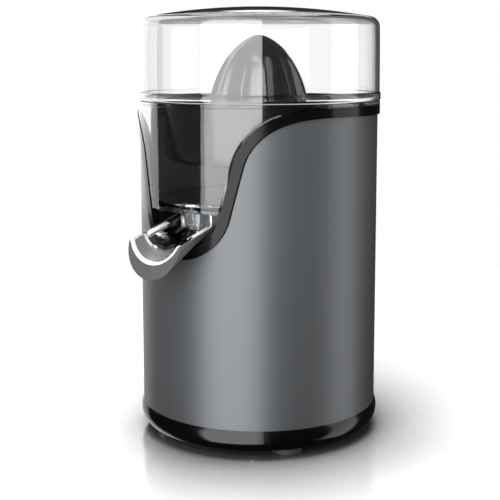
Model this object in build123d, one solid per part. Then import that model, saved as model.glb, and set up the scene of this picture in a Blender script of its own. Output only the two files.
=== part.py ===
"""Electric citrus press: steel drum body, clear bowl and cover, turning cone and tilting spout.

Frame: +Z up, origin on the drum's axis at table height, the spout towards -Y. Millimetres.
"""
from build123d import *
import math
import os

# ---- driving dimensions: outside ---------------------------------------------------------
BODY_R = 69.3            # outer radius of the steel shell
SHELL_WALL = 0.8
SHELL_TOP = 186.0        # height of the shell's top edge
BASE_TOP = 16.3          # height where the shell stands on the base ring
BASE_BULGE = 1.3         # how far the base ring swells past the shell
BASE_PLATE_T = 2.4
FOOT_H = 4.6
FOOT_R = 8.5
FOOT_X = 46.1            # half the side-to-side distance between feet
FOOT_Y = 33.5            # half the front-to-back distance between feet

OPENING_Z = 108.7        # lowest point of the shell's front opening
OPENING_R = 30.5         # radius of the opening's rounded bottom
SHOULDER_R = 33.0        # radius of the shell's shoulders beside the opening
TRIM_WIDTH = 5.0         # face of the black trim round the opening, and height of the collar
TRIM_PROUD = 1.3
TRIM_T = 4.0             # trim thickness, inside to outside
TRIM_LIP = 0.5           # inner step of the trim's edge
TRIM_TUCK = 3.0          # how far the trim runs behind the shell

# ---- driving dimensions: bowl, basket, cone, cover --------------------------------------
SEAT_GAP = 0.3           # gap under each lift-off piece's rim
BOWL_WALL = 2.5
BOWL_FLANGE_T = 2.0
BOWL_CLEAR = 0.8         # bowl wall to trim
WINDOW_SET_BACK = 0.4    # bowl window behind the trim's face
BOWL_FILLET = 4.0
CHIMNEY_R = 7.6          # bore of the bowl's centre tube
CHIMNEY_WALL = 2.0
NOZZLE_W = 16.0
NOZZLE_L = 12.0
NOZZLE_WALL = 2.25
NOZZLE_DROP = 10.0       # nozzle length below the bowl floor

BASKET_R = 55.0
BASKET_WALL = 2.0
BASKET_DEPTH = 35.6
BASKET_RIM_T = 1.8
BASKET_RIM_W = 11.5      # width of the rim outside the basket wall
BASKET_FILLET = 7.0
SLOT_W = 2.0
SLOT_COUNT = 24

CONE_R = 31.0            # cone radius at its base, between the ribs
CONE_H = 66.0
RIB_RISE = 1.2           # rib height over the cone's flanks
RIB_W = 4.0
RIB_COUNT = 12
RIB_TURN = 17.0          # degrees from the right-hand side to the nearest rib
CONE_WALL = 2.5
CONE_GAP = 1.5           # cone over the basket floor when pressed right down

COVER_H = 53.3
COVER_R = 70.9           # bead radius
COVER_WALL = 2.3
COVER_CROWN = 5.6
COVER_CORNER = 6.0
BEAD_H = 4.4

# ---- driving dimensions: spout -----------------------------------------------------------
DECK_TOP = 131.5         # inner deck under the bowl
DECK_T = 3.0
DECK_GAP = 3.1           # bowl floor over the deck
SPOUT_SLOPE = 15.2       # degrees
SPOUT_HALF = 18.2        # half-width over the rails
SPOUT_REACH = 20.9       # rail tips in front of the shell
SPOUT_TIP_Z = 120.0
SPOUT_DEPTH = 10.9       # trough depth behind the trim
SPOUT_WALL = 1.5
LIP_DEPTH = 19.2         # depth of the crescent lip
LIP_LEAN = 15.3          # degrees that the lip's foot leans towards the front
LIP_BACK = 21.4          # from the rail tips back to where the underside starts to deepen
CHANNEL_WALL = 1.0       # rail thickness at the tips
CHANNEL_DEPTH = 11.2
STEP_BACK = 13.4         # from the lip back to the channel's step
REAR_WALL = 1.6
LINER_T = 0.7
POCKET_HALF = 25.0       # half-width of the spout's recess
POCKET_WALL = 2.0
POCKET_BACK = 29.3       # recess rear wall behind the shell's front
PIVOT_BACK = 13.3        # spout pivot, and the nozzle over it, behind the shell's front
PIVOT_Z = 120.0
PIN_R = 2.2
BARREL_R = 4.5

# ---- driving dimensions: drive -----------------------------------------------------------
PRESS_TRAVEL = 2.5       # how far the cone and shaft sink to start the motor
SHAFT_R = 4.0
HEX_AF = 6.4             # shaft's hexagon ends, across flats
HEX_CLEAR = 0.2
RUN_FIT = 0.05           # radial running clearance of shafts in bores
MODULE = 0.8
PRESSURE_ANGLE = 25.0
BACKLASH = 0.16
OUTPUT_TEETH = 60
IDLER_TEETH = 48
PINION_TEETH = 12
GEAR_W = 8.0
IDLER_W = 7.0
MOTOR_ANGLE = 210.0      # direction from idler to motor
MOTOR_R = 22.0
MOTOR_H = 50.0
MOTOR_SHAFT_R = 2.0
MOTOR_SCREW_R = 12.0
GEAR_PLATE_Z = 82.0
PLATE_T = 3.0
TOP_PLATE_Z = 110.0
POST_ANGLE = 55.0
POST_INSET = 10.3        # post circle inside the shell's outside
POST_R = 4.0
SCREW_R = 1.5
SCREW_CLEAR = 0.05
AXLE_R = 2.0
GLAND_R = 4.2
GLAND_BORE = 3.2
GLAND_Z = 11.4
GLAND_L = 9.2

# ---- heights and radii that follow -------------------------------------------------------
SHELL_IN = BODY_R - SHELL_WALL
TRIM_OUT = BODY_R + TRIM_PROUD
TRIM_IN = TRIM_OUT - TRIM_T
RIM_Z = SHELL_TOP + TRIM_WIDTH
FLANGE_Z = RIM_Z + SEAT_GAP
RIM_SEAT_Z = FLANGE_Z + BOWL_FLANGE_T + SEAT_GAP
BOWL_R = TRIM_IN - BOWL_CLEAR
BOWL_Z = DECK_TOP + DECK_GAP
BASKET_Z = RIM_SEAT_Z - BASKET_DEPTH
BASKET_FLOOR = BASKET_Z + BASKET_WALL
CONE_Z = BASKET_FLOOR + PRESS_TRAVEL + CONE_GAP
HUB_TOP = BASKET_FLOOR + 5.5
GLIDE_Z = HUB_TOP + PRESS_TRAVEL + 0.5
GLIDE_T = 2.5
WEB_Z = GLIDE_Z + GLIDE_T + 0.2
WEB_T = 2.0
CHIMNEY_TOP = WEB_Z + WEB_T + 2.8
CHIMNEY_OUT = CHIMNEY_R + CHIMNEY_WALL
HUB_R = CHIMNEY_OUT + 0.8
HUB_WALL = 2.0
TOWER_R = CHIMNEY_R - 0.6
TOWER_TOP = CHIMNEY_TOP - 4.0
SEAL_H = 3.0
BOSS_Z = CHIMNEY_TOP + PRESS_TRAVEL + 0.7
BOSS_H = 26.3
UPPER_HEX_Z = BOSS_Z - 0.3
SHAFT_TOP = BOSS_Z + BOSS_H - 0.5
GEAR_Z = GEAR_PLATE_Z + 15.0
GEAR_HUB_TOP = GEAR_Z + GEAR_W + 2.0
SHAFT_Z = GEAR_PLATE_Z + 2.0
LOWER_HEX_TOP = GEAR_HUB_TOP + PRESS_TRAVEL + 0.5
GEAR_PLATE_TOP = GEAR_PLATE_Z + PLATE_T
TOP_PLATE_TOP = TOP_PLATE_Z + PLATE_T
SPRING_Z = TOP_PLATE_TOP + 1.0
SPRING_TOP = SPRING_Z + 10.0
IDLER_Z = GEAR_PLATE_TOP + 3.5
IDLER_PINION_Z = IDLER_Z + IDLER_W
MOTOR_TOP = GEAR_PLATE_Z - 4.0
MOTOR_BOTTOM = MOTOR_TOP - MOTOR_H
PLATE_R = BODY_R - 5.3
BASE_PLATE_TOP = FOOT_H + BASE_PLATE_T
POST_CIRCLE = BODY_R - POST_INSET
PIVOT_Y = PIVOT_BACK - BODY_R
POCKET_REAR = POCKET_BACK - BODY_R
POCKET_FLOOR = OPENING_Z + 0.3

IDLER_Y = MODULE * (OUTPUT_TEETH + PINION_TEETH) / 2
MOTOR_REACH = MODULE * (IDLER_TEETH + PINION_TEETH) / 2
MOTOR_X = MOTOR_REACH * math.cos(math.radians(MOTOR_ANGLE))
MOTOR_Y = IDLER_Y + MOTOR_REACH * math.sin(math.radians(MOTOR_ANGLE))

POSTS = [
    (POST_CIRCLE * math.cos(math.radians(a)), POST_CIRCLE * math.sin(math.radians(a)))
    for a in (POST_ANGLE, 180 - POST_ANGLE, 180 + POST_ANGLE, -POST_ANGLE)
]
FEET = [(x, y) for x in (-FOOT_X, FOOT_X) for y in (-FOOT_Y, FOOT_Y)]


# ---- plain shapes ------------------------------------------------------------------------
def disc(radius, low, high, x=0.0, y=0.0):
    """Upright cylinder from height low to height high."""
    return Pos(x, y, (low + high) / 2) * Cylinder(radius, high - low)


def tube(outer, inner, low, high, x=0.0, y=0.0):
    return disc(outer, low, high, x, y) - disc(inner, low - 1, high + 1, x, y)


def block(x0, x1, y0, y1, z0, z1):
    return Pos((x0 + x1) / 2, (y0 + y1) / 2, (z0 + z1) / 2) * Box(x1 - x0, y1 - y0, z1 - z0)


def hexagon(across_flats, low, high):
    """Upright hexagonal bar on the axis."""
    return extrude(Pos(0, 0, low) * RegularPolygon(across_flats / 2, 6, major_radius=False), high - low)


def turned(*edges):
    """Solid of revolution from a closed outline drawn with x as radius and y as height."""
    return revolve(Plane.XZ * make_face(Curve() + list(edges)), Axis.Z)


def group(solids):
    """Separate solids of one sub-part."""
    return Compound(children=[solid for piece in solids for solid in piece.solids()])


def at_posts(make):
    return group([make(x, y) for x, y in POSTS])


# ---- the swooping front opening ----------------------------------------------------------
def opening(inset, top=400.0):
    """Everything inside the opening's edge moved in by inset, as a bar through the front half
    with the space above the shell. The edge is a round bottom and two shoulders joined by
    their inner tangents."""
    low_z = OPENING_Z + OPENING_R
    side_x = SHELL_IN
    side_z = SHELL_TOP - SHOULDER_R
    low_r = OPENING_R - inset
    side_r = SHOULDER_R + inset
    reach = math.hypot(side_x, side_z - low_z)
    along = math.sqrt(reach ** 2 - (low_r + side_r) ** 2)
    turn = math.atan2(side_z - low_z, side_x) + math.atan2(low_r + side_r, along)
    left = Vector(-math.sin(turn), math.cos(turn))
    low_end = Vector(0, low_z) - left * low_r
    side_end = Vector(side_x, side_z) + left * side_r
    half_angle = (turn + math.pi / 2 + math.pi / 2) / 2
    side_mid = Vector(side_x + side_r * math.cos(half_angle), side_z + side_r * math.sin(half_angle))
    side_top = Vector(side_x, side_z + side_r)
    flip = lambda point: Vector(-point.X, point.Y)
    outline = Curve() + [
        ThreePointArc(flip(low_end), (0, low_z - low_r), low_end),
        Line(low_end, side_end),
        ThreePointArc(side_end, side_mid, side_top),
        Polyline(side_top, (2 * BODY_R, side_top.Y), (2 * BODY_R, top), (-2 * BODY_R, top),
                 (-2 * BODY_R, side_top.Y), flip(side_top)),
        ThreePointArc(flip(side_top), flip(side_mid), flip(side_end)),
        Line(flip(side_end), flip(low_end)),
    ]
    bar = extrude(Plane.XZ * make_face(outline), 2 * BODY_R)
    back = block(-2 * BODY_R, 2 * BODY_R, -1, 2 * BODY_R, SHELL_TOP + inset, top)
    return bar + back


# ---- outside of the body -----------------------------------------------------------------
def steel_shell():
    return tube(BODY_R, SHELL_IN, BASE_TOP, SHELL_TOP) - opening(0)


def trim_collar():
    """Black frame round the opening, running on as a collar round the top."""
    step_r = TRIM_OUT - 1.0
    face = (tube(TRIM_OUT, step_r, OPENING_Z - 1, RIM_Z) & opening(0)) - opening(TRIM_WIDTH)
    lip = (tube(step_r, TRIM_IN, OPENING_Z - 1, RIM_Z) & opening(0)) - opening(TRIM_WIDTH + TRIM_LIP)
    tuck = tube(SHELL_IN - 0.3, TRIM_IN, OPENING_Z - 2 * TRIM_TUCK, RIM_Z) & opening(-TRIM_TUCK)
    return face + lip + (tuck - opening(TRIM_WIDTH + TRIM_LIP))


def base_ring():
    """Black foot ring: swollen outside, with a lip that locates the shell."""
    inner = BODY_R - 5.8
    seat = BODY_R - 3.1
    lip_out = SHELL_IN - 0.3
    lip_in = lip_out - 1.8
    lip_top = BASE_TOP + 5.7
    ring = turned(
        ThreePointArc((BODY_R - 1.8, FOOT_H), (BODY_R + BASE_BULGE, 0.45 * FOOT_H + 0.55 * BASE_TOP),
                      (BODY_R, BASE_TOP)),
        Polyline((BODY_R, BASE_TOP), (lip_out, BASE_TOP), (lip_out, lip_top), (lip_in, lip_top),
                 (lip_in, BASE_TOP - 4), (inner, BASE_TOP - 4), (inner, BASE_PLATE_TOP),
                 (seat, BASE_PLATE_TOP), (seat, FOOT_H), (BODY_R - 1.8, FOOT_H)),
    )
    return ring - gland_bar(GLAND_R, 20)


def base_plate():
    """Floor of the body, with cooling slots and the board's stand-offs."""
    plate = disc(BODY_R - 3.3, FOOT_H, BASE_PLATE_TOP)
    for x, y in POSTS:
        plate -= disc(SCREW_R + SCREW_CLEAR, 0, 20, x, y)
    slot = extrude(SlotOverall(18, 3), 20)
    for angle in range(0, 360, 45):
        plate -= Rot(0, 0, angle) * Pos(BODY_R / 4, 0, 0) * slot
    for x, y in board_corners():
        plate += disc(3, BASE_PLATE_TOP, BASE_PLATE_TOP + 5, x, y)
    return plate


def rubber_feet():
    return group([disc(FOOT_R, 0, FOOT_H, x, y) for x, y in FEET])


def gland_bar(radius, length):
    """Bar through the ring's back, from its outer end inwards."""
    outer_y = BODY_R + BASE_BULGE + 0.6
    return Pos(0, outer_y - length / 2, GLAND_Z) * Rot(90, 0, 0) * Cylinder(radius, length)


def cord_gland():
    return gland_bar(GLAND_R, GLAND_L) - gland_bar(GLAND_BORE, 3 * GLAND_L)


def inner_deck():
    """Black deck under the bowl: recess for the spout and tower round the shaft."""
    outer_wall = POCKET_HALF + POCKET_WALL
    deck_r = TRIM_IN - 0.4
    deck = disc(deck_r, DECK_TOP - DECK_T, DECK_TOP)
    pocket = block(-outer_wall, outer_wall, -BODY_R, POCKET_REAR + POCKET_WALL,
                   POCKET_FLOOR - POCKET_WALL, DECK_TOP)
    recess = block(-POCKET_HALF, POCKET_HALF, -2 * BODY_R, POCKET_REAR, POCKET_FLOOR, DECK_TOP + 1)
    deck += (pocket & disc(deck_r, 0, DECK_TOP))
    deck -= recess
    deck += disc(TOWER_R, DECK_TOP - DECK_T - 2, TOWER_TOP)
    deck -= disc(SHAFT_R + 1.6, 0, 2 * SHELL_TOP)
    for x, y in POSTS:
        deck -= disc(SCREW_R + SCREW_CLEAR, 0, 2 * DECK_TOP, x, y)
    return deck - pin_bars(0)


# ---- frame inside the body ---------------------------------------------------------------
def spacers(low, high):
    return at_posts(lambda x, y: tube(POST_R, SCREW_R + SCREW_CLEAR, low, high, x, y))


def screws(head_low, head_high, shank_low, shank_high):
    head_r = 2 * SCREW_R
    return at_posts(lambda x, y: disc(head_r, head_low, head_high, x, y)
                    + disc(SCREW_R, shank_low, shank_high, x, y))


def motor_screw_places():
    angle = math.atan2(MOTOR_Y, MOTOR_X) + math.pi / 2
    step = Vector(math.cos(angle), math.sin(angle)) * MOTOR_SCREW_R
    return [(MOTOR_X + side * step.X, MOTOR_Y + side * step.Y) for side in (-1, 1)]


def gear_plate():
    plate = disc(PLATE_R, GEAR_PLATE_Z, GEAR_PLATE_TOP)
    holes = [(x, y, SCREW_R + SCREW_CLEAR) for x, y in POSTS + motor_screw_places()]
    holes += [(0, 0, BUSH_OUT), (0, IDLER_Y, AXLE_R), (MOTOR_X, MOTOR_Y, 6.5)]
    for x, y, radius in holes:
        plate -= disc(radius, 0, 2 * GEAR_PLATE_Z, x, y)
    return plate


def top_plate():
    plate = disc(PLATE_R, TOP_PLATE_Z, TOP_PLATE_TOP)
    notch = POCKET_HALF + POCKET_WALL + 0.5
    plate -= block(-notch, notch, -2 * BODY_R, POCKET_REAR + POCKET_WALL + 0.5, 0, DECK_TOP)
    holes = [(x, y, SCREW_R + SCREW_CLEAR) for x, y in POSTS]
    holes += [(0, 0, SHAFT_R + 2), (0, IDLER_Y, AXLE_R)]
    for x, y, radius in holes:
        plate -= disc(radius, 0, 2 * TOP_PLATE_Z, x, y)
    return plate


BUSH_IN = 6.0 + RUN_FIT
BUSH_OUT = 8.5


def gear_bush():
    return tube(BUSH_OUT, BUSH_IN, GEAR_PLATE_Z, GEAR_PLATE_TOP + 2)


def lower_shaft_bush():
    """Flanged bush in the top plate; the spring stands on its flange."""
    bush = disc(SHAFT_R + 2, TOP_PLATE_Z, TOP_PLATE_TOP) + disc(SHAFT_R + 4, TOP_PLATE_TOP, SPRING_Z)
    return bush - disc(SHAFT_R + RUN_FIT, 0, 2 * TOP_PLATE_Z)


def upper_shaft_bush():
    return tube(SHAFT_R + 1.6, SHAFT_R + RUN_FIT, TOWER_TOP - 8, TOWER_TOP)


def shaft_seal():
    return tube(TOWER_R, SHAFT_R + RUN_FIT, TOWER_TOP, TOWER_TOP + SEAL_H)


def idler_axle():
    return disc(AXLE_R, GEAR_PLATE_Z, TOP_PLATE_TOP, 0, IDLER_Y)


def press_spring():
    """Coil spring that lifts the shaft, of the length it has between bush and washer."""
    wire = 0.5
    height = SPRING_TOP - SPRING_Z - 2 * wire
    path = Pos(0, 0, SPRING_Z + wire) * Helix(pitch=height / 4, height=height, radius=SHAFT_R + 2)
    start = Plane(origin=path @ 0, z_dir=path % 0)
    return sweep(start * Circle(wire), path=path)


# ---- gears -------------------------------------------------------------------------------
def gear_face(teeth, turn=0.0):
    """Outline of an involute spur gear, with one tooth centred at angle turn in degrees."""
    pitch_r = MODULE * teeth / 2
    base_r = pitch_r * math.cos(math.radians(PRESSURE_ANGLE))
    tip_r = pitch_r + MODULE
    root_r = pitch_r - 1.25 * MODULE
    start_r = max(base_r, root_r)
    roll = lambda r: math.tan(math.acos(base_r / r)) - math.acos(base_r / r)
    half = math.pi / (2 * teeth) - BACKLASH / (4 * pitch_r) + roll(pitch_r)
    radii = [start_r + (tip_r - start_r) * i / 3 for i in range(4)]
    point = lambda r, angle: (r * math.cos(angle), r * math.sin(angle))
    edges = []
    for tooth in range(teeth):
        middle = math.radians(turn) + 2 * math.pi * tooth / teeth
        rising = [point(r, middle - half + roll(r)) for r in radii]
        falling = [point(r, middle + half - roll(r)) for r in reversed(radii)]
        root_angle = half - roll(start_r)
        root_in = point(root_r, middle - root_angle)
        root_out = point(root_r, middle + root_angle)
        next_root = point(root_r, middle + 2 * math.pi / teeth - root_angle)
        if start_r > root_r:
            edges += [Line(root_in, rising[0]), Line(falling[-1], root_out)]
        edges += [Spline(*rising), Line(rising[-1], falling[0]), Spline(*falling)]
        edges.append(Line(root_out, next_root))
    return make_face(Curve() + edges)


def gear(teeth, low, width, x=0.0, y=0.0, turn=0.0):
    return Pos(x, y, low) * extrude(gear_face(teeth, turn), width)


def output_gear():
    wheel = gear(OUTPUT_TEETH, GEAR_Z, GEAR_W)
    wheel += disc(7, GEAR_PLATE_TOP + 2.3, GEAR_HUB_TOP) + disc(6, GEAR_PLATE_Z + 1, GEAR_Z)
    wheel -= hexagon(HEX_AF + HEX_CLEAR, 0, 2 * GEAR_Z)
    for angle in range(0, 360, 60):
        wheel -= Rot(0, 0, angle + 30) * disc(4, 0, 2 * GEAR_Z, 14.5, 0)
    return wheel


def idler_gear():
    wheel = gear(IDLER_TEETH, IDLER_Z, IDLER_W, 0, IDLER_Y)
    pinion = gear(PINION_TEETH, IDLER_PINION_Z, GEAR_Z + GEAR_W + 1 - IDLER_PINION_Z, 0, IDLER_Y,
                  180 / PINION_TEETH)
    return wheel + pinion - disc(AXLE_R + RUN_FIT, 0, 2 * GEAR_Z, 0, IDLER_Y)


def motor_pinion():
    pinion = gear(PINION_TEETH, IDLER_Z - 0.5, IDLER_W + 1, MOTOR_X, MOTOR_Y, 180 / PINION_TEETH)
    return pinion - disc(MOTOR_SHAFT_R, 0, 2 * GEAR_Z, MOTOR_X, MOTOR_Y)


# ---- shaft and motor ---------------------------------------------------------------------
def drive_shaft():
    """Round shaft with a hexagon at each end: the lower one slides in the gear, the upper
    one turns the cone."""
    shaft = hexagon(HEX_AF, SHAFT_Z, LOWER_HEX_TOP) + disc(SHAFT_R, LOWER_HEX_TOP, UPPER_HEX_Z)
    return shaft + hexagon(HEX_AF, UPPER_HEX_Z, SHAFT_TOP)


def spring_washer():
    """Washer held on the shaft, against which the spring pushes."""
    return tube(SHAFT_R + 3.5, SHAFT_R, SPRING_TOP, SPRING_TOP + 1.5)


def motor_can():
    """Steel can of the motor with its mounting boss, open below."""
    can = disc(MOTOR_R, MOTOR_BOTTOM, MOTOR_TOP, MOTOR_X, MOTOR_Y)
    can -= disc(MOTOR_R - 1.2, MOTOR_BOTTOM - 1, MOTOR_TOP - 2, MOTOR_X, MOTOR_Y)
    can += disc(MOTOR_SCREW_R + 3, MOTOR_TOP, GEAR_PLATE_Z, MOTOR_X, MOTOR_Y)
    can -= disc(MOTOR_SHAFT_R + RUN_FIT, 0, 2 * MOTOR_TOP, MOTOR_X, MOTOR_Y)
    for x, y in motor_screw_places():
        can -= disc(SCREW_R + SCREW_CLEAR, 0, 2 * MOTOR_TOP, x, y)
    return can


def motor_end_cap():
    cap = disc(MOTOR_R, MOTOR_BOTTOM - 4, MOTOR_BOTTOM, MOTOR_X, MOTOR_Y)
    return cap - disc(MOTOR_SHAFT_R + RUN_FIT, 0, MOTOR_TOP, MOTOR_X, MOTOR_Y)


def motor_magnets():
    """Two curved magnets inside the can."""
    ring = tube(MOTOR_R - 1.2, MOTOR_R - 6, MOTOR_BOTTOM + 6, MOTOR_TOP - 8)
    gap = block(-MOTOR_R, MOTOR_R, -5, 5, 0, 2 * MOTOR_TOP)
    return group([Pos(MOTOR_X, MOTOR_Y, 0) * (ring - gap)])


def motor_screws():
    return group([disc(2 * SCREW_R, GEAR_PLATE_TOP, GEAR_PLATE_TOP + 2, x, y)
                  + disc(SCREW_R, MOTOR_TOP - 4, GEAR_PLATE_TOP, x, y)
                  for x, y in motor_screw_places()])


def motor_shaft():
    return disc(MOTOR_SHAFT_R, MOTOR_BOTTOM - 2, IDLER_Z + IDLER_W + 0.5, MOTOR_X, MOTOR_Y)


def rotor_core():
    """Wound rotor, with slots between its poles."""
    core = tube(MOTOR_R - 7, MOTOR_SHAFT_R, MOTOR_BOTTOM + 8, MOTOR_TOP - 10)
    for angle in range(0, 360, 45):
        core -= Rot(0, 0, angle) * block(6, MOTOR_R, -1.5, 1.5, 0, MOTOR_TOP)
    return Pos(MOTOR_X, MOTOR_Y, 0) * core


# ---- start switch and board --------------------------------------------------------------
BUTTON_R = 1.6
SWITCH_TOP = GEAR_PLATE_Z - 3.0
SWITCH_H = 11.0
SWITCH_X = (-3.5, 16.5)
SWITCH_Y = (-4.8, 2.0)


def switch_body():
    body = block(*SWITCH_X, *SWITCH_Y, SWITCH_TOP - SWITCH_H, SWITCH_TOP)
    return body - disc(BUTTON_R + 0.3, SWITCH_TOP - 2 * PRESS_TRAVEL - 2.4, SWITCH_TOP + 1)


def switch_button():
    return disc(BUTTON_R, SWITCH_TOP - PRESS_TRAVEL - 2, SHAFT_Z - 0.3)


def switch_bracket():
    """Folded plate that hangs the switch from the gear plate."""
    wall = block(*SWITCH_X, SWITCH_Y[0] - 1.5, SWITCH_Y[0], SWITCH_TOP - SWITCH_H, GEAR_PLATE_Z)
    flange = block(*SWITCH_X, SWITCH_Y[0] - 10, SWITCH_Y[0], GEAR_PLATE_Z - 1.5, GEAR_PLATE_Z)
    return wall + flange


def board_corners():
    return [(x, y) for x in (-20, 20) for y in (8 - POST_CIRCLE, 34 - POST_CIRCLE)]


def circuit_board():
    """Supply board with its capacitor, coil and relay."""
    low = BASE_PLATE_TOP + 5
    middle_y = 21 - POST_CIRCLE
    board = block(-25, 25, middle_y - 18, middle_y + 18, low, low + 1.6)
    board += disc(5, low + 1.6, low + 15, -14, middle_y - 6)
    board += disc(6, low + 1.6, low + 8, 2, middle_y + 5)
    board += block(10, 22, middle_y - 12, middle_y + 4, low + 1.6, low + 12)
    return board


# ---- spout -------------------------------------------------------------------------------
SLOPE_COS = math.cos(math.radians(SPOUT_SLOPE))
SLOPE_SIN = math.sin(math.radians(SPOUT_SLOPE))
SPOUT_BACK = SPOUT_REACH / SLOPE_COS + 23.3      # closed rear end, behind the rail tips
STEP_DEPTH = SPOUT_DEPTH - SPOUT_WALL            # channel depth behind its step
PIN_INNER = SPOUT_HALF + 0.3                     # inner ends of the pins' bores


def trough(back, front, half_width, rise=0.0):
    """Bar with a round underside along the spout's slope. back and front are its ends, each
    a distance behind the rail tips, a depth, and a lean of the end's foot towards the front."""
    sections = []
    for distance, depth, lean in (back, front):
        origin = (0, -BODY_R - SPOUT_REACH + distance * SLOPE_COS, SPOUT_TIP_Z + distance * SLOPE_SIN)
        lean_cos = math.cos(math.radians(lean))
        lean_sin = math.sin(math.radians(lean))
        plane = Plane(origin=origin, x_dir=(1, 0, 0), z_dir=(0, -lean_cos, lean_sin))
        arc = ThreePointArc((half_width, 0), (0, -depth), (-half_width, 0))
        if rise:
            lid = Polyline((-half_width, 0), (-half_width, rise), (half_width, rise), (half_width, 0))
        else:
            lid = Line((-half_width, 0), (half_width, 0))
        sections.append(plane * make_face(Curve() + [arc, lid]))
    return loft(sections, ruled=True)


def channel(shrink):
    """Space along the spout's top that the juice runs in, with its shallow and deep stretch."""
    half = SPOUT_HALF - CHANNEL_WALL - shrink
    deep = CHANNEL_DEPTH - shrink
    shallow = STEP_DEPTH - shrink
    front = trough((STEP_BACK - shrink, deep, LIP_LEAN), (-3, deep, LIP_LEAN), half, rise=4)
    rear = trough((SPOUT_BACK - REAR_WALL, shallow, 0), (STEP_BACK - 4, shallow, 0), half, rise=4)
    return front + rear


def pin_bars(clearance, inner=0.0):
    """Bars along the spout's pivot, out to the recess's walls, with a gap between them."""
    half = POCKET_HALF + POCKET_WALL
    bar = Rot(0, 90, 0) * Cylinder(PIN_R + clearance, 2 * half)
    if inner:
        bar -= Box(2 * inner, 4 * PIN_R, 4 * PIN_R)
    return Pos(0, PIVOT_Y, PIVOT_Z) * bar


def spout_shell():
    """Trough with a deep crescent lip, hung on a barrel across its rear."""
    body = trough((SPOUT_BACK, SPOUT_DEPTH, 0), (LIP_BACK, SPOUT_DEPTH, 0), SPOUT_HALF)
    body += trough((LIP_BACK, SPOUT_DEPTH, 0), (0, LIP_DEPTH, LIP_LEAN), SPOUT_HALF)
    barrel = Rot(0, 90, 0) * Cylinder(BARREL_R, 2 * (POCKET_HALF - 2.5))
    body += Pos(0, PIVOT_Y, PIVOT_Z) * barrel
    return body - channel(0) - pin_bars(RUN_FIT, PIN_INNER)


def spout_liner():
    """Bright pressed lining of the channel."""
    ends = trough((SPOUT_BACK - REAR_WALL, LIP_DEPTH, 0), (0, LIP_DEPTH, LIP_LEAN), SPOUT_HALF)
    return (channel(0) - channel(LINER_T)) & ends


def spout_hinge_pins():
    return group([pin_bars(0, PIN_INNER + 0.5)])


# ---- bowl, basket, cone, cover -----------------------------------------------------------
def juice_bowl():
    """Clear bowl: cup with a centre tube and nozzle, and a window that fills the opening."""
    inner = BOWL_R - BOWL_WALL
    floor = BOWL_Z + BOWL_WALL
    top = FLANGE_Z + BOWL_FLANGE_T
    cup = fillet(disc(BOWL_R, BOWL_Z, top).edges().group_by(Axis.Z)[0], BOWL_FILLET)
    window_r = TRIM_OUT - WINDOW_SET_BACK
    window = tube(window_r, BOWL_R - 1, BOWL_Z, FLANGE_Z) & opening(TRIM_WIDTH + TRIM_LIP + 0.8)
    window -= block(-2 * BODY_R, 2 * BODY_R, 0, 2 * BODY_R, 0, 2 * SHELL_TOP)
    flange = disc(TRIM_OUT, FLANGE_Z, top)
    hollow = fillet(disc(inner, floor, top + 20).edges().group_by(Axis.Z)[0], BOWL_FILLET - 1.5)
    bowl = cup + window + flange - hollow
    bowl += disc(CHIMNEY_OUT, BOWL_Z, CHIMNEY_TOP)
    bowl -= disc(CHIMNEY_R, 0, 2 * SHELL_TOP)
    nozzle = RectangleRounded(NOZZLE_W, NOZZLE_L, 4)
    bore = RectangleRounded(NOZZLE_W - 2 * NOZZLE_WALL, NOZZLE_L - 2 * NOZZLE_WALL, 2)
    bowl += Pos(0, PIVOT_Y, BOWL_Z - NOZZLE_DROP) * extrude(nozzle, NOZZLE_DROP + 0.5)
    bowl -= Pos(0, PIVOT_Y, BOWL_Z - NOZZLE_DROP - 1) * extrude(bore, NOZZLE_DROP + BOWL_WALL + 2)
    return bowl


def strainer_basket():
    """Basket with a slotted floor and a wide rim that lies on the bowl's flange."""
    rim_top = RIM_SEAT_Z + BASKET_RIM_T
    inner = BASKET_R - BASKET_WALL
    cup = fillet(disc(BASKET_R, BASKET_Z, rim_top).edges().group_by(Axis.Z)[0], BASKET_FILLET)
    hollow = disc(inner, BASKET_FLOOR, rim_top + 20)
    hollow = fillet(hollow.edges().group_by(Axis.Z)[0], BASKET_FILLET - BASKET_WALL)
    basket = cup + disc(BASKET_R + BASKET_RIM_W, RIM_SEAT_Z, rim_top) - hollow
    basket += disc(HUB_R + HUB_WALL, BASKET_Z, HUB_TOP)
    basket -= disc(HUB_R, 0, 2 * SHELL_TOP)
    inner_end = HUB_R + HUB_WALL + 5
    outer_end = inner - BASKET_FILLET
    slot = extrude(SlotOverall(outer_end - inner_end, SLOT_W), 2 * BASKET_WALL + 2)
    for index in range(SLOT_COUNT):
        turn = Rot(0, 0, 360 * index / SLOT_COUNT)
        basket -= turn * Pos((inner_end + outer_end) / 2, 0, BASKET_Z - 1) * slot
    return basket


def glide_ring():
    """Plain ring that the cone's web turns on."""
    return tube(HUB_R + HUB_WALL + 1.6, HUB_R, GLIDE_Z, GLIDE_Z + GLIDE_T)


def cone_solid(base_r, low, height):
    """Domed cone of revolution whose flank follows r = R (1 - t^2.6)^(1/1.6)."""
    steps = [0, 0.2, 0.4, 0.55, 0.7, 0.82, 0.92, 0.98]
    flank = [(base_r * (1 - t ** 2.6) ** (1 / 1.6), low + height * t) for t in steps]
    outline = Spline(*flank, (0, low + height), tangents=((0, 1), (-1, 0)))
    return turned(outline, Polyline((0, low + height), (0, low), (base_r, low)))


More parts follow.
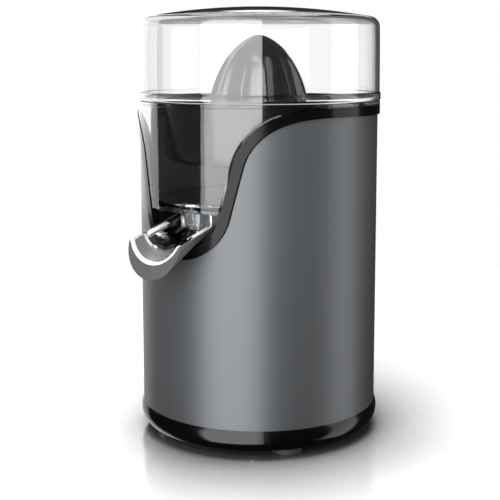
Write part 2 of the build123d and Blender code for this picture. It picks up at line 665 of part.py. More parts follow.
def juicing_cone():
    """Ribbed cone with a web that rests on the glide ring and a boss for the shaft."""
    body = cone_solid(CONE_R, CONE_Z, CONE_H)
    ribs = cone_solid(CONE_R + RIB_RISE, CONE_Z, CONE_H + RIB_RISE)
    comb = None
    for index in range(RIB_COUNT):
        bar = block(0, 2 * CONE_R, -RIB_W / 2, RIB_W / 2, CONE_Z, CONE_Z + 2 * CONE_H)
        bar = Rot(0, 0, RIB_TURN + 360 * index / RIB_COUNT) * bar
        comb = bar if comb is None else comb + bar
    cone = body + (ribs & comb)
    cone -= cone_solid(CONE_R - CONE_WALL, CONE_Z - 0.01, CONE_H - CONE_WALL)
    web = tube(CONE_R - CONE_WALL + 1, CHIMNEY_OUT + 0.6, WEB_Z, WEB_Z + WEB_T)
    cone += web & cone_solid(CONE_R - 1, CONE_Z, CONE_H - 1)
    cone += disc(6.5, BOSS_Z, CONE_Z + CONE_H) & cone_solid(CONE_R - 1, CONE_Z, CONE_H - 1)
    return cone - hexagon(HEX_AF + HEX_CLEAR, BOSS_Z - 1, BOSS_Z + BOSS_H)


def cover_outline(gap):
    """Half outline of the dome, gap inside its outer face, from the foot to the axis."""
    wall_r = COVER_R - 1.0 - gap
    apex = RIM_SEAT_Z + COVER_H - gap
    corner = COVER_CORNER - gap
    shoulder_z = apex - COVER_CROWN - corner
    crown_r = wall_r - corner
    sphere_r = (crown_r ** 2 + COVER_CROWN ** 2) / (2 * COVER_CROWN)
    half_way = math.asin(crown_r / sphere_r) / 2
    crown_mid = (sphere_r * math.sin(half_way), apex - sphere_r * (1 - math.cos(half_way)))
    bend = math.sqrt(0.5)
    return [
        Line((wall_r + 0.5, RIM_SEAT_Z), (wall_r, shoulder_z)),
        ThreePointArc((wall_r, shoulder_z), (crown_r + corner * bend, shoulder_z + corner * bend),
                      (crown_r, shoulder_z + corner)),
        ThreePointArc((crown_r, shoulder_z + corner), crown_mid, (0, apex)),
        Polyline((0, apex), (0, RIM_SEAT_Z), (wall_r + 0.5, RIM_SEAT_Z)),
    ]


def dust_cover():
    """Clear cover with a low crown and a bead round its foot."""
    dome = turned(*cover_outline(0)) + disc(COVER_R, RIM_SEAT_Z, RIM_SEAT_Z + BEAD_H)
    return dome - turned(*cover_outline(COVER_WALL))


# ---- every sub-part by name --------------------------------------------------------------
def subparts():
    yield "steel_shell", steel_shell()
    yield "trim_collar", trim_collar()
    yield "base_ring", base_ring()
    yield "base_plate", base_plate()
    yield "rubber_feet", rubber_feet()
    yield "cord_gland", cord_gland()
    yield "inner_deck", inner_deck()
    yield "lower_spacers", spacers(BASE_PLATE_TOP, GEAR_PLATE_Z)
    yield "gearbox_spacers", spacers(GEAR_PLATE_TOP, TOP_PLATE_Z)
    yield "deck_spacers", spacers(TOP_PLATE_TOP, DECK_TOP - DECK_T)
    yield "base_screws", screws(FOOT_H - 2, FOOT_H, FOOT_H, 3 * FOOT_H)
    yield "frame_screws", screws(DECK_TOP, DECK_TOP + 2, GEAR_PLATE_Z - 8, DECK_TOP)
    yield "gear_plate", gear_plate()
    yield "top_plate", top_plate()
    yield "gear_bush", gear_bush()
    yield "lower_shaft_bush", lower_shaft_bush()
    yield "upper_shaft_bush", upper_shaft_bush()
    yield "shaft_seal", shaft_seal()
    yield "idler_axle", idler_axle()
    yield "press_spring", press_spring()
    yield "output_gear", output_gear()
    yield "idler_gear", idler_gear()
    yield "drive_shaft", drive_shaft()
    yield "spring_washer", spring_washer()
    yield "motor_can", motor_can()
    yield "motor_end_cap", motor_end_cap()
    yield "motor_magnets", motor_magnets()
    yield "motor_screws", motor_screws()
    yield "motor_shaft", motor_shaft()
    yield "rotor_core", rotor_core()
    yield "motor_pinion", motor_pinion()
    yield "switch_body", switch_body()
    yield "switch_button", switch_button()
    yield "switch_bracket", switch_bracket()
    yield "circuit_board", circuit_board()
    yield "spout_shell", spout_shell()
    yield "spout_liner", spout_liner()
    yield "spout_hinge_pins", spout_hinge_pins()
    yield "juice_bowl", juice_bowl()
    yield "strainer_basket", strainer_basket()
    yield "glide_ring", glide_ring()
    yield "juicing_cone", juicing_cone()
    yield "dust_cover", dust_cover()


os.makedirs("parts", exist_ok=True)
for name, shape in subparts():
    export_step(shape, os.path.join("parts", name + ".step"))
    box = shape.bounding_box()
    print(f"{name:18s} {len(shape.solids())} solids  {shape.volume / 1000:8.2f} cm3"
          f"  z {box.min.Z:6.1f} to {box.max.Z:6.1f}")
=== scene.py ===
import math

import bmesh
import bpy
from mathutils import Matrix, Vector


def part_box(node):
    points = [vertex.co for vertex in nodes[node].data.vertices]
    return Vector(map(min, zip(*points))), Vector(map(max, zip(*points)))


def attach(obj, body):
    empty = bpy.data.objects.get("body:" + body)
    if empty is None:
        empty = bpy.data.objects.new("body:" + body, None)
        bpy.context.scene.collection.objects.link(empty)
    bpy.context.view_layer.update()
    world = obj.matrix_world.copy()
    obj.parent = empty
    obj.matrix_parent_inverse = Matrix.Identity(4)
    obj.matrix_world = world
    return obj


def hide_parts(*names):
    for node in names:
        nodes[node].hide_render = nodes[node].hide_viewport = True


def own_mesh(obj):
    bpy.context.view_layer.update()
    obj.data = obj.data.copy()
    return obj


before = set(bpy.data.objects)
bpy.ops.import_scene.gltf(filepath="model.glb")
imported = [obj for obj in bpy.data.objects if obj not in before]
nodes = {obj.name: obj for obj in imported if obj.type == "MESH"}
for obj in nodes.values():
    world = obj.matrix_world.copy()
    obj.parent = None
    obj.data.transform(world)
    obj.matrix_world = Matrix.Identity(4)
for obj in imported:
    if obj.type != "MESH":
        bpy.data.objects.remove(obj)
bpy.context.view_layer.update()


# ---- Table, lamps and camera -------------------------------------------------------------
# A pale disc lies under the press, painted with shade where the press stands close over it. Tall
# soft boxes stand left, right and behind, and a lamp hangs overhead, in a room that mirrors as dark.
CAMERA_TURN = math.radians(38)
CAMERA_DISTANCE = 0.6303
CAMERA_HEIGHT = 0.21875
CAMERA_PITCH = math.radians(7.65)
towards_camera = Vector((math.sin(CAMERA_TURN), -math.cos(CAMERA_TURN), 0))

camera_data = bpy.data.cameras.new("camera")
camera_data.lens = 77.18
camera_data.sensor_width = 36
camera_data.shift_x = -0.0177
camera_data.shift_y = -0.1
camera_data.clip_start = 0.01
camera = bpy.data.objects.new("camera", camera_data)
camera.location = towards_camera * CAMERA_DISTANCE + Vector((0, 0, CAMERA_HEIGHT))
camera.rotation_euler = (math.pi / 2 - CAMERA_PITCH, 0, CAMERA_TURN)
bpy.context.scene.collection.objects.link(camera)
bpy.context.scene.camera = camera
bpy.context.scene.view_settings.view_transform = "Standard"


def glow(name, strength):
    material = bpy.data.materials.new(name)
    material.use_nodes = True
    tree = material.node_tree
    tree.nodes.clear()
    light = tree.nodes.new("ShaderNodeEmission")
    light.inputs["Strength"].default_value = strength
    tree.links.new(light.outputs[0], tree.nodes.new("ShaderNodeOutputMaterial").inputs["Surface"])
    return material


def soft_box(name, start, end, distance, low, high, strength, through=True, shades=True):
    """Upright glowing sheet from start to end degrees right of the camera."""
    shape = bmesh.new()
    ends = []
    for turn in (start, end):
        angle = CAMERA_TURN + math.radians(turn)
        ends.append(Vector((math.sin(angle), -math.cos(angle), 0)) * distance)
    foot = [shape.verts.new((place.x, place.y, low)) for place in ends]
    edge = shape.edges.new(foot)
    risen = bmesh.ops.extrude_edge_only(shape, edges=[edge])
    for vert in risen["geom"]:
        if isinstance(vert, bmesh.types.BMVert):
            vert.co.z = high
    mesh = bpy.data.meshes.new(name)
    shape.to_mesh(mesh)
    shape.free()
    mesh.materials.append(glow(name, strength))
    sheet = bpy.data.objects.new(name, mesh)
    sheet.visible_camera = False
    sheet.visible_transmission = through
    sheet.visible_shadow = shades
    sheet.visible_diffuse = shades
    bpy.context.scene.collection.objects.link(sheet)


soft_box("left_box", -54, 3, 1.5, -1.4, 1.9, 5.0)
soft_box("right_box", 70, 104, 1.5, -1.4, 1.9, 1.9)
soft_box("left_rear_box", -170, -130, 1.5, -1.4, 1.9, 0.9)
soft_box("left_near_box", -165, -100, 0.36, 0.09, 0.32, 2.2, through=False, shades=False)
soft_box("rear_box", 160, 200, 1.5, 0.62, 1.9, 2.0, through=False)

overhead = bpy.data.lights.new("overhead", "AREA")
overhead.shape = "RECTANGLE"
overhead.size = 1.3
overhead.size_y = 1.3
overhead.energy = 32
overhead_lamp = bpy.data.objects.new("overhead", overhead)
overhead_lamp.location = -towards_camera * 0.45 + Vector((0, 0, 1.7))
aim = Vector((0, 0, 0.1)) - overhead_lamp.location
overhead_lamp.rotation_euler = aim.to_track_quat("-Z", "Y").to_euler()
overhead_lamp.visible_camera = False
overhead_lamp.visible_transmission = False
bpy.context.scene.collection.objects.link(overhead_lamp)

world = bpy.data.worlds.new("studio")
world.use_nodes = True
tree = world.node_tree
tree.nodes.clear()
room = tree.nodes.new("ShaderNodeBackground")
room.inputs["Color"].default_value = (1, 1, 1, 1)
rays = tree.nodes.new("ShaderNodeLightPath")
straight = tree.nodes.new("ShaderNodeMath")
straight.operation = "LESS_THAN"
straight.inputs[1].default_value = 0.5
tree.links.new(rays.outputs["Glossy Depth"], straight.inputs[0])
through = tree.nodes.new("ShaderNodeMath")
through.operation = "MULTIPLY"
tree.links.new(rays.outputs["Is Transmission Ray"], through.inputs[0])
tree.links.new(straight.outputs[0], through.inputs[1])
level = None
for seen, amount in ((rays.outputs["Is Camera Ray"], 0.98), (through.outputs[0], 0.94),
                     (rays.outputs["Is Transmission Ray"], 0.12), (rays.outputs["Is Diffuse Ray"], 0.3)):
    part = tree.nodes.new("ShaderNodeMath")
    part.operation = "MULTIPLY_ADD"
    part.inputs[1].default_value = amount
    part.inputs[2].default_value = 0.02
    tree.links.new(seen, part.inputs[0])
    if level:
        tree.links.new(level, part.inputs[2])
    level = part.outputs[0]
tree.links.new(level, room.inputs["Strength"])
tree.links.new(room.outputs[0], tree.nodes.new("ShaderNodeOutputWorld").inputs["Surface"])
bpy.context.scene.world = world

floor_shape = bmesh.new()
bmesh.ops.create_circle(floor_shape, cap_ends=True, segments=96, radius=0.55)
floor_mesh = bpy.data.meshes.new("floor")
floor_shape.to_mesh(floor_mesh)
floor_shape.free()
floor = bpy.data.objects.new("floor", floor_mesh)
bpy.context.scene.collection.objects.link(floor)
paper = bpy.data.materials.new("paper")
paper.use_nodes = True
tree = paper.node_tree
sheet = tree.nodes["Principled BSDF"]
# Painted shade: ambient occlusion darkens the floor's colour near the press's foot.
painted_contact_shade = tree.nodes.new("ShaderNodeAmbientOcclusion")
painted_contact_shade.samples = 12
painted_contact_shade.inputs["Distance"].default_value = 0.11
painted_contact_shade.inputs["Color"].default_value = (1, 1, 1, 1)
painted_shade_ramp = tree.nodes.new("ShaderNodeMapRange")
painted_shade_ramp.inputs["From Min"].default_value = 0.45
painted_shade_ramp.inputs["From Max"].default_value = 0.98
painted_shade_ramp.inputs["To Min"].default_value = 0.06
painted_shade_ramp.inputs["To Max"].default_value = 0.93
tree.links.new(painted_contact_shade.outputs["AO"], painted_shade_ramp.inputs["Value"])
tree.links.new(painted_shade_ramp.outputs["Result"], sheet.inputs["Base Color"])
sheet.inputs["Roughness"].default_value = 0.16
sheet.inputs["Specular IOR Level"].default_value = 0.9
gap = tree.nodes.new("ShaderNodeBsdfTransparent")
rays = tree.nodes.new("ShaderNodeLightPath")
either = tree.nodes.new("ShaderNodeMixShader")
tree.links.new(rays.outputs["Is Glossy Ray"], either.inputs[0])
tree.links.new(sheet.outputs[0], either.inputs[1])
tree.links.new(gap.outputs[0], either.inputs[2])
tree.links.new(either.outputs[0], tree.nodes["Material Output"].inputs["Surface"])
floor_mesh.materials.append(paper)


# ---- Base ring and floor plate -----------------------------------------------------------
# The foot ring is injection moulded in black ABS and polished; the plate screwed into it from
# below is left matt. The shell stands on the ring's shoulder.
def moulded_grain():
    """Node group for a moulded or cast face: cloudy shade, fine grain and smudges."""
    group = bpy.data.node_groups.new("moulded_grain", "ShaderNodeTree")
    for name, low in (("Grain Scale", 900.0), ("Shade Range", 0.06), ("Smudge Scale", 22.0)):
        group.interface.new_socket(name, in_out="INPUT", socket_type="NodeSocketFloat").default_value = low
    for name in ("Shade", "Smudge", "Height"):
        group.interface.new_socket(name, in_out="OUTPUT", socket_type="NodeSocketFloat")
    entry = group.nodes.new("NodeGroupInput")
    leave = group.nodes.new("NodeGroupOutput")
    place = group.nodes.new("ShaderNodeTexCoord")
    grain = group.nodes.new("ShaderNodeTexNoise")
    grain.inputs["Detail"].default_value = 3
    smudge = group.nodes.new("ShaderNodeTexNoise")
    smudge.inputs["Detail"].default_value = 4
    smudge.inputs["Roughness"].default_value = 0.62
    for noise, scale in ((grain, "Grain Scale"), (smudge, "Smudge Scale")):
        group.links.new(place.outputs["Object"], noise.inputs["Vector"])
        group.links.new(entry.outputs[scale], noise.inputs["Scale"])
    spread = group.nodes.new("ShaderNodeMath")
    spread.operation = "MULTIPLY_ADD"
    group.links.new(smudge.outputs["Fac"], spread.inputs[0])
    group.links.new(entry.outputs["Shade Range"], spread.inputs[1])
    spread.inputs[2].default_value = 1.0
    fleck = group.nodes.new("ShaderNodeMath")
    fleck.operation = "MULTIPLY_ADD"
    group.links.new(grain.outputs["Fac"], fleck.inputs[0])
    group.links.new(entry.outputs["Shade Range"], fleck.inputs[1])
    group.links.new(spread.outputs[0], fleck.inputs[2])
    group.links.new(fleck.outputs[0], leave.inputs["Shade"])
    group.links.new(smudge.outputs["Fac"], leave.inputs["Smudge"])
    group.links.new(grain.outputs["Fac"], leave.inputs["Height"])
    return group


grain_group = moulded_grain()


def finish(name, colour, roughness, metallic=0.0, grain=900.0, shade=0.06, smudge=22.0, relief=0.02, **extra):
    """Material with a moulded grain: roughness is its low and high value, relief the bump."""
    material = bpy.data.materials.new(name)
    material.use_nodes = True
    tree = material.node_tree
    surface = tree.nodes["Principled BSDF"]
    surface.inputs["Metallic"].default_value = metallic
    for socket, value in extra.items():
        surface.inputs[socket.replace("_", " ")].default_value = value
    skin = tree.nodes.new("ShaderNodeGroup")
    skin.node_tree = grain_group
    skin.inputs["Grain Scale"].default_value = grain
    skin.inputs["Shade Range"].default_value = shade
    skin.inputs["Smudge Scale"].default_value = smudge
    tint = tree.nodes.new("ShaderNodeVectorMath")
    tint.operation = "SCALE"
    tint.inputs[0].default_value = colour
    tree.links.new(skin.outputs["Shade"], tint.inputs["Scale"])
    tree.links.new(tint.outputs[0], surface.inputs["Base Color"])
    gloss = tree.nodes.new("ShaderNodeMapRange")
    gloss.inputs["From Min"].default_value = 0.3
    gloss.inputs["From Max"].default_value = 0.7
    gloss.inputs["To Min"].default_value = roughness[0]
    gloss.inputs["To Max"].default_value = roughness[1]
    tree.links.new(skin.outputs["Smudge"], gloss.inputs["Value"])
    tree.links.new(gloss.outputs["Result"], surface.inputs["Roughness"])
    bump = tree.nodes.new("ShaderNodeBump")
    bump.inputs["Strength"].default_value = relief
    bump.inputs["Distance"].default_value = 0.0005
    tree.links.new(skin.outputs["Height"], bump.inputs["Height"])
    tree.links.new(bump.outputs["Normal"], surface.inputs["Normal"])
    return material


def paint(node, material):
    mesh = nodes[node].data
    mesh.materials.clear()
    mesh.materials.append(material)


def skin_over(node, name, body, material, edge=0.0003, segments=2, crease=32):
    """Clean copy of a CAD piece, its triangles joined and its edges eased, in that piece's place."""
    shape = bmesh.new()
    shape.from_mesh(nodes[node].data)
    bmesh.ops.remove_doubles(shape, verts=shape.verts, dist=0.000002)
    bmesh.ops.dissolve_limit(shape, angle_limit=math.radians(0.2), verts=shape.verts, edges=shape.edges)
    mesh = bpy.data.meshes.new(name)
    shape.to_mesh(mesh)
    shape.free()
    mesh.materials.clear()
    mesh.materials.append(material)
    mesh.shade_smooth()
    mesh.set_sharp_from_angle(angle=math.radians(crease))
    piece = bpy.data.objects.new(name, mesh)
    bpy.context.scene.collection.objects.link(piece)
    if edge:
        ease = piece.modifiers.new("eased_edges", "BEVEL")
        ease.width = edge
        ease.segments = segments
        ease.limit_method = "ANGLE"
        ease.angle_limit = math.radians(40)
    even = piece.modifiers.new("even_shading", "WEIGHTED_NORMAL")
    even.weight = 90
    even.keep_sharp = True
    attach(piece, body)
    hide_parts(node)
    return piece


gloss_black = finish("gloss_black_plastic", (0.0015, 0.0015, 0.0018), (0.12, 0.18), relief=0.01,
                     Specular_IOR_Level=0.36)
matt_black = finish("matt_black_plastic", (0.01, 0.01, 0.0105), (0.42, 0.55), grain=1400, relief=0.12)
skin_over("base_ring", "foot_ring", "housing", gloss_black)
paint("base_plate", matt_black)


# ---- Rubber feet and cord inlet ----------------------------------------------------------
# Four rubber discs are pressed under the base, and a rubber gland lines the hole for the cord.
# Rubber is dull, slightly grey and picks up dust.
rubber = finish("rubber", (0.022, 0.022, 0.023), (0.6, 0.78), grain=700, shade=0.25, relief=0.2)
skin_over("rubber_feet", "feet", "housing", rubber, edge=0.0007, segments=3)
skin_over("cord_gland", "cord_inlet", "housing", rubber)


# ---- Frame plates, pillars and screws ----------------------------------------------------
# Two zinc-plated steel plates carry the drive. Turned pillars hold them apart over the base,
# four long screws clamp the stack from above, and the coil spring under the shaft is squeezed.
sheet_steel = finish("zinc_plate", (0.55, 0.56, 0.57), (0.3, 0.46), metallic=1.0, grain=500, shade=0.15)
turned_steel = finish("turned_steel", (0.62, 0.62, 0.63), (0.2, 0.34), metallic=1.0, grain=1600, shade=0.08)
bronze = finish("sintered_bronze", (0.55, 0.36, 0.17), (0.35, 0.5), metallic=1.0, grain=2200,
                shade=0.2, relief=0.1)
for node in ("gear_plate", "top_plate", "switch_bracket", "base_screws", "frame_screws", "motor_screws"):
    paint(node, sheet_steel)
for node in ("lower_spacers", "gearbox_spacers", "deck_spacers", "idler_axle", "spring_washer",
             "drive_shaft", "motor_shaft", "spout_hinge_pins"):
    paint(node, turned_steel)
coil = skin_over("press_spring", "coil_spring", "housing", turned_steel, edge=0)
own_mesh(coil)
for node in ("gear_bush", "lower_shaft_bush", "upper_shaft_bush", "motor_pinion"):
    paint(node, bronze)


# ---- Gears, motor and switch -------------------------------------------------------------
# The wheels are moulded in natural acetal. The motor is a zinc-plated can with ferrite
# magnets, and a small switch under the shaft starts it from a board on the floor plate.
acetal = finish("natural_acetal", (0.78, 0.77, 0.71), (0.32, 0.45), shade=0.05, Subsurface_Weight=0.05)
ferrite = finish("ferrite", (0.05, 0.05, 0.052), (0.5, 0.7), shade=0.3)
copper = finish("laminations_and_copper", (0.42, 0.2, 0.1), (0.3, 0.5), metallic=0.8, grain=1200, shade=0.4)
laminate = finish("board_laminate", (0.03, 0.14, 0.06), (0.3, 0.42), shade=0.2)
red_plastic = finish("red_plastic", (0.5, 0.03, 0.02), (0.3, 0.4))
for node in ("output_gear", "idler_gear", "glide_ring"):
    paint(node, acetal)
paint("motor_can", sheet_steel)
paint("motor_end_cap", matt_black)
paint("motor_magnets", ferrite)
paint("rotor_core", copper)
paint("switch_body", matt_black)
paint("switch_button", red_plastic)
paint("circuit_board", laminate)
paint("shaft_seal", rubber)


# ---- Steel shell -------------------------------------------------------------------------
# The drum is a rolled and welded sheet of stainless steel under a satin gunmetal lacquer,
# whose metal flakes sparkle very faintly. Its front is cut out in a swoop for the bowl.
gunmetal = finish("gunmetal_lacquer", (0.083, 0.088, 0.093), (0.39, 0.43), metallic=0.55,
                  grain=2600, shade=0.14, smudge=9.0, relief=0.03)
bare_steel = finish("bare_steel", (0.6, 0.6, 0.6), (0.3, 0.42), metallic=0.15, grain=1800, shade=0.1)
shell = skin_over("steel_shell", "drum_shell", "housing", gunmetal, edge=0.0)
shell.modifiers.clear()
mesh = shell.data
mesh.materials.append(bare_steel)
rounded = [Vector(corner.vector) for corner in mesh.corner_normals]
for face in mesh.polygons:
    across = Vector((face.center.x, face.center.y, 0))
    turn = face.normal.dot(across.normalized())
    if abs(turn) > 0.97:
        face.material_index = 0 if turn > 0 else 1
        for corner in face.loop_indices:
            at = mesh.vertices[mesh.loops[corner].vertex_index].co
            rounded[corner] = Vector((at.x, at.y, 0)).normalized() * math.copysign(1, turn)
mesh.normals_split_custom_set(rounded)


# ---- Trim and collar ---------------------------------------------------------------------
# One black moulding frames the opening and runs on as a collar round the drum's top. It is
# clipped in from inside and stands a little proud, with eased edges that catch the light.
trim_black = finish("satin_black_trim", (0.002, 0.002, 0.0023), (0.14, 0.2), relief=0.015,
                    Specular_IOR_Level=0.2)
skin_over("trim_collar", "opening_trim", "housing", trim_black, edge=0.0006, segments=3)


# ---- Inner deck --------------------------------------------------------------------------
# A black moulding closes the drum under the bowl. It holds the shaft's tower in the middle and
# the recess that the spout tilts in.
skin_over("inner_deck", "deck_and_recess", "housing", matt_black, edge=0.0004)


# ---- Spout -------------------------------------------------------------------------------
# The trough is die cast and lacquered like the drum, with a deep crescent lip. A bright pressed
# liner with a ridge and a rolled rim covers the channel, and the spout tilts on two pins. The
# polished tops of the rails, a thin strip on each rail and the rolled rim are coloured near
# white as a painted highlight.
spout_lacquer = finish("spout_lacquer", (0.12, 0.124, 0.13), (0.34, 0.42), metallic=0.55,
                       grain=2600, shade=0.14, relief=0.03)
bright_steel = finish("bright_steel", (0.72, 0.73, 0.74), (0.06, 0.12), metallic=1.0, grain=1500, shade=0.05,
                      relief=0.01)
satin_steel = finish("satin_steel", (0.3, 0.303, 0.31), (0.24, 0.32), metallic=0.6, grain=1500, shade=0.06)
# Polished edges given a near-white colour: their gloss is real, the whiteness is a painted highlight.
polished_edge_painted_highlight = finish("polished_edge_painted_highlight", (0.92, 0.925, 0.93), (0.2, 0.3), metallic=0.25, grain=1500,
                       shade=0.03)
LIP_TOP = Vector((0, -0.0902, 0.120))
LIP_FACE = Vector((0, -0.9645, 0.264))
RAIL_TURN = Vector((0, 0.263, 0.965))
RAIL_INNER_X = 0.0165
RAIL_FRONT_Y = -0.058
SATIN_FRONT_Y = -0.0795
casting = skin_over("spout_shell", "spout_casting", "spout", spout_lacquer, edge=0.00025)
# The rails' flat tops get the near-white painted highlight.
casting.data.materials.append(polished_edge_painted_highlight)
for face in casting.data.polygons:
    level = face.normal.dot(RAIL_TURN) > 0.98
    if level and abs(face.center.x) > RAIL_INNER_X and face.center.y < RAIL_FRONT_Y:
        face.material_index = 1

liner = skin_over("spout_liner", "channel_liner", "spout", bright_steel, edge=0.00012)
liner.data.materials.append(satin_steel)
liner.data.materials.append(polished_edge_painted_highlight)


def liner_band(name, material, keep, raised, ease):
    """Raised strip across the channel: the liner's own section between two cuts, thickened."""
    shape = bmesh.new()
    shape.from_mesh(nodes["spout_liner"].data)
    bmesh.ops.remove_doubles(shape, verts=shape.verts, dist=0.000002)
    for point, normal in keep:
        whole = shape.verts[:] + shape.edges[:] + shape.faces[:]
        cut = bmesh.ops.bisect_plane(shape, geom=whole, plane_co=point, plane_no=normal, clear_outer=True)
        rim = [edge for edge in cut["geom_cut"] if isinstance(edge, bmesh.types.BMEdge)]
        bmesh.ops.holes_fill(shape, edges=rim, sides=0)
    bmesh.ops.recalc_face_normals(shape, faces=shape.faces)
    shape.normal_update()
    lifted = {}
    for face in shape.faces:
        middle = face.calc_center_median()
        inward = Vector((-middle.x, 0, 0.004 + 0.120 - middle.z))
        if abs(face.normal.y) < 0.6 and face.normal.dot(inward) > 0.0005 and face.normal.z > -0.2:
            for vert in face.verts:
                lifted.setdefault(vert, []).append(face.normal.copy())
    for vert, normals in lifted.items():
        vert.co += sum(normals, Vector()).normalized() * raised
    mesh = bpy.data.meshes.new(name)
    shape.to_mesh(mesh)
    shape.free()
    mesh.shade_smooth()
    mesh.set_sharp_from_angle(angle=math.radians(32))
    mesh.materials.append(material)
    piece = bpy.data.objects.new(name, mesh)
    bpy.context.scene.collection.objects.link(piece)
    round_over = piece.modifiers.new("eased_edges", "BEVEL")
    round_over.width = ease
    round_over.segments = 3
    round_over.limit_method = "ANGLE"
    round_over.angle_limit = math.radians(40)
    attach(piece, "spout")
    return piece


liner_band("channel_ridge", bright_steel,
           [(Vector((0, -0.0786, 0.12)), Vector((0, 1, 0))),
            (Vector((0, -0.0802, 0.12)), Vector((0, -1, 0)))],
           0.0011, 0.0005)
# Two thin near-white strips on the rails' tops, a painted highlight.
RAIL_STRIP_SIZE = (0.0036, 0.0165, 0.0009)
RAIL_STRIP_TILT = math.radians(15.2)
RAIL_STRIP_AT = Vector((0.0153, -0.0712, 0.1247))
shape = bmesh.new()
bmesh.ops.create_cube(shape, size=1)
bmesh.ops.scale(shape, vec=RAIL_STRIP_SIZE, verts=shape.verts)
bmesh.ops.bevel(shape, geom=shape.edges[:], offset=0.0003, offset_type="OFFSET", segments=2, profile=0.5,
                affect="EDGES", material=-1)
bmesh.ops.rotate(shape, cent=(0, 0, 0), matrix=Matrix.Rotation(RAIL_STRIP_TILT, 3, "X"), verts=shape.verts)
bmesh.ops.translate(shape, vec=RAIL_STRIP_AT, verts=shape.verts)
twin = bmesh.ops.duplicate(shape, geom=shape.verts[:] + shape.edges[:] + shape.faces[:])["geom"]
twin_verts = [item for item in twin if isinstance(item, bmesh.types.BMVert)]
bmesh.ops.translate(shape, vec=(-2 * RAIL_STRIP_AT.x, 0, 0), verts=twin_verts)
mesh = bpy.data.meshes.new("rail_highlight_strip")
shape.to_mesh(mesh)
shape.free()
mesh.shade_smooth()
mesh.set_sharp_from_angle(angle=math.radians(32))
mesh.materials.append(polished_edge_painted_highlight)
strip = bpy.data.objects.new("rail_highlight_strip", mesh)
bpy.context.scene.collection.objects.link(strip)
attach(strip, "spout")
# The lip's rolled rim is coloured near white too, a painted highlight.
liner_band("lip_rim", polished_edge_painted_highlight, [(LIP_TOP - LIP_FACE * 0.0019, -LIP_FACE)], 0.0004, 0.0002)
for face in liner.data.polygons:
    if face.center.y < SATIN_FRONT_Y:
        face.material_index = 1


# ---- Juice bowl --------------------------------------------------------------------------
# The bowl is moulded in clear SAN. Its front swells out to fill the drum's opening, a tube in
# the middle lets the shaft through, and a flat nozzle under the floor feeds the spout.
def clear_plastic(name, tint, roughness):
    return finish(name, tint, roughness, grain=60, shade=0.01, smudge=14, relief=0.004,
                  Transmission_Weight=1.0, IOR=1.49)


bowl_plastic = clear_plastic("clear_bowl", (0.93, 0.94, 0.95), (0.02, 0.05))
skin_over("juice_bowl", "clear_bowl", "bowl", bowl_plastic, edge=0.0004)


# ---- Strainer basket ---------------------------------------------------------------------
# A black basket hangs in the bowl by its wide rim. Slots in its floor hold back pips and pulp.
basket_black = finish("basket_black", (0.002, 0.002, 0.0023), (0.16, 0.24), relief=0.015)
skin_over("strainer_basket", "pulp_basket", "basket", basket_black, edge=0.0004)


# ---- Juicing cone ------------------------------------------------------------------------
# The reamer is moulded in dark polypropylene with twelve equal rounded ribs. The flutes between
# them are hollowed out and run up to a smooth, rounded tip.
cone_low, cone_high = (Vector(corner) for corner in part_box("juicing_cone"))
CONE_FOOT = cone_low.z
CONE_TALL = cone_high.z - cone_low.z
CONE_RADIUS = cone_high.x
CONE_STEPS = 192
CONE_RINGS = 44
FLUTE_DEPTH = 0.085
FLUTE_TOP = 0.87
RIBS = 12
RIB_TURN = math.radians(17)


def cone_radius(t):
    return CONE_RADIUS * max(0.0, 1 - t ** 2.6) ** (1 / 1.6)


def flute(angle, t):
    """How far the face lies inside the ribs' crests at an angle and a height."""
    rib_turn = (angle - RIB_TURN) * RIBS / (2 * math.pi)
    off = abs(rib_turn - round(rib_turn))
    hollow = 1 - (1 - 2 * max(off, 0.02)) ** 2
    start = max(0.0, min(1.0, (FLUTE_TOP - t) / 0.1))
    return FLUTE_DEPTH * cone_radius(t) * hollow * start


shape = bmesh.new()
crests = []
for ring in range(CONE_RINGS + 1):
    t = math.sin(0.5 * math.pi * ring / CONE_RINGS)
    crests.append(shape.verts.new((cone_radius(t), 0, CONE_FOOT + CONE_TALL * t)))
for lower, upper in zip(crests, crests[1:]):
    shape.edges.new((lower, upper))
bmesh.ops.spin(shape, geom=shape.verts[:] + shape.edges[:], cent=(0, 0, 0), axis=(0, 0, 1),
               angle=2 * math.pi, steps=CONE_STEPS, use_merge=True)
bmesh.ops.remove_doubles(shape, verts=shape.verts, dist=0.00001)
bmesh.ops.recalc_face_normals(shape, faces=shape.faces)
for vert in shape.verts:
    radius = math.hypot(vert.co.x, vert.co.y)
    if radius > 0.0002:
        t = (vert.co.z - CONE_FOOT) / CONE_TALL
        shrink = 1 - min(0.3, flute(math.atan2(vert.co.y, vert.co.x), t) / radius)
        vert.co.x *= shrink
        vert.co.y *= shrink
mesh = bpy.data.meshes.new("ribbed_cone")
shape.to_mesh(mesh)
shape.free()
mesh.shade_smooth()
cone_black = finish("cone_black", (0.006, 0.006, 0.0068), (0.14, 0.2), relief=0.015,
                    Specular_IOR_Level=0.75)
mesh.materials.append(cone_black)
cone = bpy.data.objects.new("ribbed_cone", mesh)
bpy.context.scene.collection.objects.link(cone)
wall = cone.modifiers.new("wall", "SOLIDIFY")
wall.thickness = 0.0022
wall.offset = -1
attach(cone, "cone")
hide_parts("juicing_cone")


# ---- Dust cover --------------------------------------------------------------------------
# The clear cover is moulded in one piece with a low crown, a rounded corner and a bead round
# its foot. A small gate mark is left in the middle of its top.
cover_low, cover_high = (Vector(corner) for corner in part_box("dust_cover"))
COVER_BEAD = cover_high.x
COVER_WALL = 0.0023
COVER_STEPS = 160
wall_radius = COVER_BEAD - 0.001
crown_rise = 0.0056
corner = 0.006
shoulder = cover_high.z - crown_rise - corner


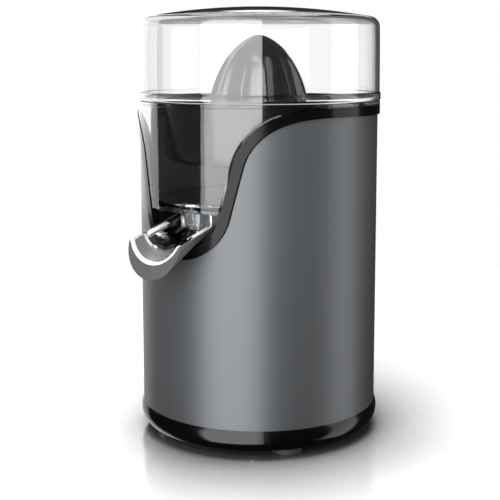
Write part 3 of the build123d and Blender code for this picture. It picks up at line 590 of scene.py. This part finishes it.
def cover_face(inset):
    """Points up the cover's face, from just over its foot to the axis."""
    bend = [math.radians(90 * i / 8) for i in range(9)]
    radius = wall_radius - inset
    round_r = corner - inset
    face = [(radius + 0.0004, cover_low.z + 0.0048), (radius + 0.0004, cover_low.z + 0.0051),
            (radius + 0.0002, shoulder - 0.012), (radius, shoulder - 0.0005)]
    face += [(radius - round_r + round_r * math.cos(a), shoulder + round_r * math.sin(a)) for a in bend]
    crown_r = radius - round_r
    top = shoulder + round_r
    for i in range(1, 13):
        across = 1 - i / 12
        face.append((crown_r * across, top + crown_rise * (1 - across ** 2)))
    return face


outer = [(COVER_BEAD - 0.0006, cover_low.z), (COVER_BEAD, cover_low.z + 0.0006),
         (COVER_BEAD, cover_low.z + 0.0038), (COVER_BEAD - 0.0004, cover_low.z + 0.0044)] + cover_face(0)
inner = cover_face(COVER_WALL)[::-1] + [(wall_radius - COVER_WALL + 0.0004, cover_low.z)]
gate_low = inner[0][1] - 0.0007
inner[0:1] = [(0, gate_low), (0.0019, gate_low), (0.0022, gate_low + 0.0003), (0.0023, inner[0][1] - 0.00001)]
shape = bmesh.new()
line = [shape.verts.new((x, 0, z)) for x, z in outer + inner]
for first, second in zip(line, line[1:] + line[:1]):
    if not (first.co.x == 0 and second.co.x == 0):
        shape.edges.new((first, second))
bmesh.ops.spin(shape, geom=shape.verts[:] + shape.edges[:], cent=(0, 0, 0), axis=(0, 0, 1),
               angle=2 * math.pi, steps=COVER_STEPS, use_merge=True)
bmesh.ops.remove_doubles(shape, verts=shape.verts, dist=0.00001)
bmesh.ops.recalc_face_normals(shape, faces=shape.faces)
mesh = bpy.data.meshes.new("clear_cover")
shape.to_mesh(mesh)
shape.free()
mesh.shade_smooth()
mesh.set_sharp_from_angle(angle=math.radians(50))
mesh.materials.append(clear_plastic("clear_cover", (0.99, 0.992, 0.995), (0.008, 0.02)))
cover = bpy.data.objects.new("clear_cover", mesh)
bpy.context.scene.collection.objects.link(cover)
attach(cover, "cover")
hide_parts("dust_cover")
